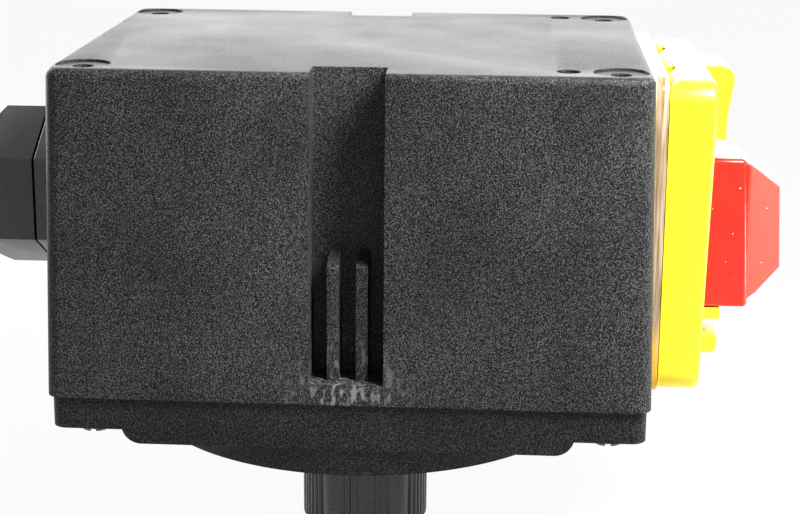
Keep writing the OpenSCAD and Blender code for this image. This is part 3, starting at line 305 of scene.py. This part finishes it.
lid_yellow = glossy_plastic("lid_yellow", (0.86, 0.70, 0.012), (0.83, 0.66, 0.010), 0.34)
# The paler red past PEAK_START is a painted reflection, the sheen on the tapered block's leaning face
PEAK_START = 74.2
stop_red = glossy_plastic("stop_red", (0.56, 0.010, 0.003), (0.50, 0.007, 0.002), 0.2, dust=0.9,
                          painted_sheen=((0.60, 0.060, 0.044), PEAK_START))
start_green = glossy_plastic("start_green", (0.03, 0.32, 0.06), (0.025, 0.28, 0.05), 0.28)
insulator = glossy_plastic("insulator", (0.13, 0.085, 0.05), (0.10, 0.065, 0.04), 0.42, dust=0.1)
bobbin_white = glossy_plastic("bobbin_white", (0.62, 0.60, 0.52), (0.58, 0.56, 0.48), 0.40, dust=0.1)
print("coloured plastics:", [m.name for m in (lid_yellow, stop_red, start_green, insulator, bobbin_white)])

# %% [markdown]
# ## Rubber and the clear seal
# The seal between the case and the lid is a see-through amber rubber with brown streaks along it. A warm
# glow near its foot is painted light, an orange painted into its colour. It lets some light through and
# bends it, and the rest of its colour is its own.

# %% Make the rubbers


def black_rubber():
    """Dull black rubber."""
    made, tree, shader = new_material("rubber_black", 0.75)
    where = place_in_mm(tree)
    fine = noise_at(tree, where, 0.5, 3.0)
    dull = blend_colours(tree, fine, (0.010, 0.010, 0.010), (0.030, 0.030, 0.030))
    tree.links.new(dull, shader.inputs["Base Color"])
    bump_into(tree, shader, fine, 0.02)
    return made


def clear_rubber():
    """See-through rubber, amber and streaked, with a warm glow painted into its colour at its lower end."""
    made, tree, shader = new_material("seal_clear", 0.12)
    shader.inputs["Transmission Weight"].default_value = 0.45
    shader.inputs["IOR"].default_value = 1.42
    where = place_in_mm(tree)
    streaks = noise_at(tree, place_in_mm(tree, (1.5, 0.25, 0.07)), 1.0, 2.0)
    tint = blend_colours(tree, remap(tree, streaks, 0.38, 0.60), (0.32, 0.19, 0.09), (0.70, 0.54, 0.36))
    split = tree.nodes.new("ShaderNodeSeparateXYZ")
    tree.links.new(where, split.inputs[0])
    # Painted light: towards the seal's foot the colour turns a bright orange, a glow painted into the base
    # colour
    painted_glow_top = SEAL_PAINTED_GLOW_Z + SEAL_PAINTED_GLOW_HALF
    painted_glow_foot = SEAL_PAINTED_GLOW_Z - SEAL_PAINTED_GLOW_HALF
    painted_glow = remap(tree, split.outputs["Z"], painted_glow_top, painted_glow_foot, 0.0, 0.85)
    tint = blend_colours(tree, painted_glow, tint, (1.0, 0.55, 0.03))
    tree.links.new(tint, shader.inputs["Base Color"])
    scratches = noise_at(tree, place_in_mm(tree, (1, 0.2, 3)), 1.2, 3.0)
    bump_into(tree, shader, scratches, 0.05)
    return made


# Height and half reach in mm of the glow painted at the seal's foot
SEAL_PAINTED_GLOW_Z = 24
SEAL_PAINTED_GLOW_HALF = 3
rubber_black = black_rubber()
seal_clear = clear_rubber()
print("rubbers:", rubber_black.name, seal_clear.name)

# %% [markdown]
# ## Metals
# The cover's screws are black, the others are zinc plated, springs are bright wire, the magnet is grey
# sheet steel, and the contacts are brass. Each is the same recipe with its own colour: brushed streaks
# along the piece.

# %% Make the metals


def metal(name, colour, shade, roughness, streak_mm=0.25):
    """Metal with fine streaks and a slow change of tone."""
    made, tree, shader = new_material(name, roughness, metallic=1.0)
    where = place_in_mm(tree)
    slow = noise_at(tree, where, 3.0, 3.0)
    tree.links.new(blend_colours(tree, slow, colour, shade), shader.inputs["Base Color"])
    streaks = noise_at(tree, place_in_mm(tree, (0.1, 1, 1)), streak_mm, 2.0)
    rough = remap(tree, streaks, 0.3, 0.7, roughness - 0.06, roughness + 0.1)
    tree.links.new(rough, shader.inputs["Roughness"])
    bump_into(tree, shader, streaks, 0.006)
    return made


screw_black = metal("screw_black", (0.06, 0.06, 0.06), (0.03, 0.03, 0.03), 0.4)
zinc_steel = metal("zinc_steel", (0.60, 0.60, 0.62), (0.48, 0.48, 0.50), 0.32)
spring_steel = metal("spring_steel", (0.52, 0.52, 0.54), (0.42, 0.42, 0.44), 0.25)
core_steel = metal("core_steel", (0.33, 0.33, 0.34), (0.24, 0.22, 0.20), 0.48)
copper_wire = metal("copper_wire", (0.72, 0.30, 0.13), (0.60, 0.22, 0.09), 0.28, 0.12)
contact_brass = metal("contact_brass", (0.78, 0.55, 0.24), (0.66, 0.45, 0.18), 0.30)
metals = (screw_black, zinc_steel, spring_steel, core_steel, copper_wire, contact_brass)
print("metals:", [m.name for m in metals])

# %% [markdown]
# ## Softening the edges
# No moulded edge is a knife edge. Each piece is a copy of its solid whose flat faces are joined up
# first, so that only real edges are left, and whose sharp edges are then rounded by a small radius.
# Rounding the mesh itself, and not only the shading, keeps the highlights on every export.

# %% The function that softens a piece


def softened(node, radius_mm, material, sharp_deg=28, segments=2, smooth_deg=40):
    """A copy of a solid with rounded edges, riding on the body that carries the solid."""
    mesh = frame["nodes"][node].data.copy()
    shape = bmesh.new()
    shape.from_mesh(mesh)
    bmesh.ops.remove_doubles(shape, verts=shape.verts, dist=0.001 * MM)
    bmesh.ops.dissolve_limit(shape, angle_limit=math.radians(0.6), verts=shape.verts, edges=shape.edges)
    sharp = [e for e in shape.edges if e.is_manifold and e.calc_face_angle(0) > math.radians(sharp_deg)]
    if radius_mm > 0:
        bmesh.ops.bevel(shape, geom=sharp, offset=radius_mm * MM, segments=segments, profile=0.6,
                        affect="EDGES", clamp_overlap=True, loop_slide=True)
    shape.normal_update()
    shape.to_mesh(mesh)
    shape.free()
    for face in mesh.polygons:
        face.use_smooth = True
    mesh.set_sharp_from_angle(angle=math.radians(smooth_deg))
    mesh.materials.clear()
    mesh.materials.append(material)
    piece = bpy.data.objects.new(node + "_finished", mesh)
    bpy.context.scene.collection.objects.link(piece)
    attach(piece, body_of[node])
    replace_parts(piece, node)
    return piece


body_of = {node: body for body, nodes in frame["record"]["behaviour"]["bodies"].items() for node in nodes}
print("bodies:", sorted(set(body_of.values())))

# %% [markdown]
# ## The pieces and their finishes
# One line for each piece: how far its edges are rounded, and what it is made of.

# %% Finish every piece
finishes = {
    "housing": (0.25, case_black),
    "cover": (0.25, cover_black),
    "cover_gasket": (0.0, rubber_black),
    "cover_screws": (0.15, screw_black),
    "side_gland_body": (0.3, gland_black),
    "side_gland_washer": (0.2, rubber_black),
    "side_gland_bush": (0.3, rubber_black),
    "side_gland_nut": (0.3, gland_black),
    "side_gland_locknut": (0.3, gland_black),
    "flange_gland_bush": (0.3, rubber_black),
    "flange_gland_nut": (0.0, gland_black),
    "clear_seal": (0.2, seal_clear),
    "front_frame": (0.2, switch_grey),
    "frame_screws": (0.15, zinc_steel),
    "lid": (0.3, lid_yellow),
    "hinge_pin": (0.2, zinc_steel),
    "stop_pad": (0.6, stop_red),
    "stop_pad_clip": (0.0, spring_steel),
    "start_button": (0.4, start_green),
    "stop_button": (0.4, stop_red),
    "switch_body": (0.2, switch_grey),
    "switch_base": (0.2, insulator),
    "base_screws": (0.1, zinc_steel),
    "magnet_core": (0.1, core_steel),
    "coil_bobbin": (0.1, bobbin_white),
    "armature": (0.1, core_steel),
    "contact_carrier": (0.15, insulator),
    "moving_contacts": (0.1, contact_brass),
    "fixed_contacts": (0.1, contact_brass),
    "terminal_blocks": (0.2, contact_brass),
    "terminal_screws": (0.1, zinc_steel),
    "cutout_contacts": (0.05, contact_brass),
    "earth_terminal": (0.2, contact_brass),
    "earth_screw": (0.1, zinc_steel),
}
for node, (radius, material) in finishes.items():
    softened(node, radius, material)
print("finished pieces:", len(finishes))

# %% [markdown]
# ## Springs and the winding
# A spring is one round wire on a helix. A curve with a bevel would do, but a tube made point by
# point exports as it is and keeps the exact length of the solid that it stands for. The magnet's
# winding is made the same way: one wire laid round and round the bobbin, turn against turn.

# %% Make a tube along a path


def tube(name, path, wire_mm, sides=10):
    """A round wire along a list of points in millimetres, closed at both ends."""
    shape = bmesh.new()
    rings = []
    for i, place in enumerate(path):
        ahead = path[min(i + 1, len(path) - 1)] - path[max(i - 1, 0)]
        ahead.normalize()
        side = ahead.cross(Vector((0, 0, 1)))
        if side.length < 0.1:
            side = ahead.cross(Vector((0, 1, 0)))
        side.normalize()
        up = side.cross(ahead)
        if rings:
            lean = math.atan2(last_side.dot(up), last_side.dot(side))
            side, up = side * math.cos(lean) + up * math.sin(lean), up * math.cos(lean) - side * math.sin(lean)
        last_side = side.copy()
        ring = []
        for k in range(sides):
            turn = 2 * math.pi * k / sides
            ring.append(shape.verts.new((place + (side * math.cos(turn) + up * math.sin(turn)) * wire_mm) * MM))
        rings.append(ring)
    for first, second in zip(rings, rings[1:]):
        for k in range(sides):
            shape.faces.new((first[k], first[(k + 1) % sides], second[(k + 1) % sides], second[k]))
    shape.faces.new(rings[0][::-1])
    shape.faces.new(rings[-1])
    bmesh.ops.recalc_face_normals(shape, faces=shape.faces)
    mesh = bpy.data.meshes.new(name)
    shape.to_mesh(mesh)
    shape.free()
    for face in mesh.polygons:
        face.use_smooth = True
    return mesh


def helix(x_from, x_to, centre_y, centre_z, radius_mm, turns, steps=28):
    """Points of a helix along X, in millimetres."""
    count = int(turns * steps)
    points = []
    for i in range(count + 1):
        turn = 2 * math.pi * turns * i / count
        along = x_from + (x_to - x_from) * i / count
        y = centre_y + radius_mm * math.cos(turn)
        z = centre_z + radius_mm * math.sin(turn)
        points.append(Vector((along, y, z)))
    return points


def add_piece(name, mesh, material, node):
    """A piece of a given mesh that stands for a solid."""
    mesh.materials.clear()
    mesh.materials.append(material)
    piece = bpy.data.objects.new(name, mesh)
    bpy.context.scene.collection.objects.link(piece)
    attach(piece, body_of[node])
    return piece


print("tube helper ready")

# %% Wind the springs
SPRING_WIRE = 0.35
SPRING_TURNS = 4
PAD_TRAVEL = 3.0
START_TRAVEL = 3.5
pressed_by = {
    "stop_pad_spring": ("stop_pad_press", PAD_TRAVEL),
    "stop_spring": ("stop_press", PAD_TRAVEL),
    "start_spring": ("start_press", START_TRAVEL),
}
for node, (joint, travel) in pressed_by.items():
    low, high = [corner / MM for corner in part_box(node)]
    reach = (high.z - low.z) / 2 - SPRING_WIRE
    path = helix(low.x + SPRING_WIRE, high.x - SPRING_WIRE, 0, (low.z + high.z) / 2, reach, SPRING_TURNS)
    coil = add_piece(node + "_wound", tube(node, path, SPRING_WIRE), spring_steel, node)
    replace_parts(coil, node)
    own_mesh(coil)
    print(node, "from", round(low.x, 2), "to", round(high.x, 2), "mm, pressed", travel)
low, high = [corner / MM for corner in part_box("contact_springs")]
SMALL_WIRE = 0.22
reach = (high.z - low.z) / 2 - SMALL_WIRE
pole_gap = (high.y - low.y) / 2 - reach - SMALL_WIRE
small_coils = bmesh.new()
for pole in (-1, 0, 1):
    path = helix(low.x + SMALL_WIRE, high.x - SMALL_WIRE, pole * pole_gap, (low.z + high.z) / 2, reach,
                 SPRING_TURNS)
    small_coils.from_mesh(tube("small_coil", path, SMALL_WIRE, 8))
small_mesh = bpy.data.meshes.new("contact_springs")
small_coils.to_mesh(small_mesh)
small_coils.free()
for face in small_mesh.polygons:
    face.use_smooth = True
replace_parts(add_piece("contact_springs_wound", small_mesh, spring_steel, "contact_springs"), "contact_springs")
print("distance between poles in mm:", round(pole_gap, 2))

# %% Wind the magnet's coil
low, high = [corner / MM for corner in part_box("coil_winding")]
WIRE = 0.2
half_w = (high.y - low.y) / 2 - WIRE
half_h = (high.z - low.z) / 2 - WIRE
middle_z = (low.z + high.z) / 2
turns = int((high.x - low.x - 2 * WIRE) / (2 * WIRE))


def round_box_point(share):
    """A point on the winding's rounded outline, for a share of one turn from 0 to 1."""
    turn = 2 * math.pi * share
    y, z = math.cos(turn), math.sin(turn)
    power = 5.0
    reach = (abs(y) ** power + abs(z) ** power) ** (-1 / power)
    return y * reach * half_w, z * reach * half_h


path = []
TURN_STEPS = 36
for i in range(turns * TURN_STEPS + 1):
    y, z = round_box_point(i / TURN_STEPS)
    along = low.x + WIRE + (high.x - low.x - 2 * WIRE) * i / (turns * TURN_STEPS)
    path.append(Vector((along, y, middle_z + z)))
winding = add_piece("coil_winding_turns", tube("winding", path, WIRE, 6), copper_wire, "coil_winding")
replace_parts(winding, "coil_winding")
softened("coil_winding", 0.3, copper_wire).name = "coil_winding_inner_layers"
print("turns in the outer layer:", turns)

# %% [markdown]
# ## Floor and light
# The photograph is taken on white with soft light all round, so the background burns out to white.
# The floor shows as white to the camera and in reflections, and still takes a faint shadow. One wide
# lamp above and to the right makes the near wall brighter towards its upper right corner. A low wide
# lamp behind gives the flat back its grey sheen at a glancing angle, and only shows in gloss. A small
# lamp beyond the lid draws the bright lines on the edges of the red pad, and a wide one behind the
# gland lights the two walls that the camera doesn't see.

# %% Lay the floor
FLOOR_SIZE = 6.0
floor_height = cad_box[0][2]
bpy.ops.mesh.primitive_plane_add(size=FLOOR_SIZE, location=(0, 0, floor_height))
floor = bpy.context.object
floor.name = "floor"


def background_material():
    """White for the camera, in gloss and through glass, with a faint shadow kept in it."""
    made = bpy.data.materials.new("background_white")
    made.use_nodes = True
    tree = made.node_tree
    tree.nodes.clear()
    out = tree.nodes.new("ShaderNodeOutputMaterial")
    matt = tree.nodes.new("ShaderNodeBsdfDiffuse")
    matt.inputs["Color"].default_value = (0.62, 0.62, 0.61, 1)
    white = tree.nodes.new("ShaderNodeEmission")
    white.inputs["Color"].default_value = (1, 1, 1, 1)
    rays = tree.nodes.new("ShaderNodeLightPath")
    mixer = tree.nodes.new("ShaderNodeMixShader")
    seen = math_node(tree, "ADD", rays.outputs["Is Camera Ray"], rays.outputs["Is Glossy Ray"], clamp=True)
    seen = math_node(tree, "ADD", seen, rays.outputs["Is Transmission Ray"], clamp=True)
    share = math_node(tree, "MULTIPLY", seen, 0.94)
    tree.links.new(share, mixer.inputs["Fac"])
    tree.links.new(matt.outputs[0], mixer.inputs[1])
    tree.links.new(white.outputs[0], mixer.inputs[2])
    tree.links.new(mixer.outputs[0], out.inputs["Surface"])
    return made


floor.data.materials.append(background_material())
print("floor at mm:", round(floor_height / MM, 1))

# %% Light the scene


def wide_lamp(name, place_mm, aim_mm, size_mm, watts):
    """A square lamp that looks at a point."""
    data = bpy.data.lights.new(name, "AREA")
    data.shape = "SQUARE"
    data.size = size_mm * MM
    data.energy = watts
    lamp = bpy.data.objects.new(name, data)
    place = Vector(place_mm) * MM
    aim = Vector(aim_mm) * MM
    lamp.location = place
    lamp.rotation_euler = (aim - place).to_track_quat("-Z", "Y").to_euler()
    bpy.context.scene.collection.objects.link(lamp)
    return lamp


world = bpy.data.worlds.new("studio")
world.use_nodes = True
bpy.context.scene.world = world
sky = world.node_tree
surround = sky.nodes["Background"]
surround.inputs["Color"].default_value = (1, 1, 1, 1)
rays = sky.nodes.new("ShaderNodeLightPath")
seen = math_node(sky, "ADD", rays.outputs["Is Camera Ray"], rays.outputs["Is Glossy Ray"], clamp=True)
seen = math_node(sky, "ADD", seen, rays.outputs["Is Transmission Ray"], clamp=True)
SOFT_LIGHT = 0.14
strength = remap(sky, seen, 0.0, 1.0, SOFT_LIGHT, 1.0)
sky.links.new(strength, surround.inputs["Strength"])
wide_lamp("key_lamp", (150, -110, 230), (40, -40, 60), 110, 2.7)
back_lamp = wide_lamp("back_lamp", (60, 900, 260), (0, 0, 60), 900, 7)
back_lamp.visible_diffuse = False
wide_lamp("edge_lamp", (310, 25, 0), (75, 0, 45), 50, 0.2)
wide_lamp("fill_lamp", (-350, 300, 160), (0, 0, 40), 300, 3)
bpy.context.scene.view_settings.view_transform = "Standard"
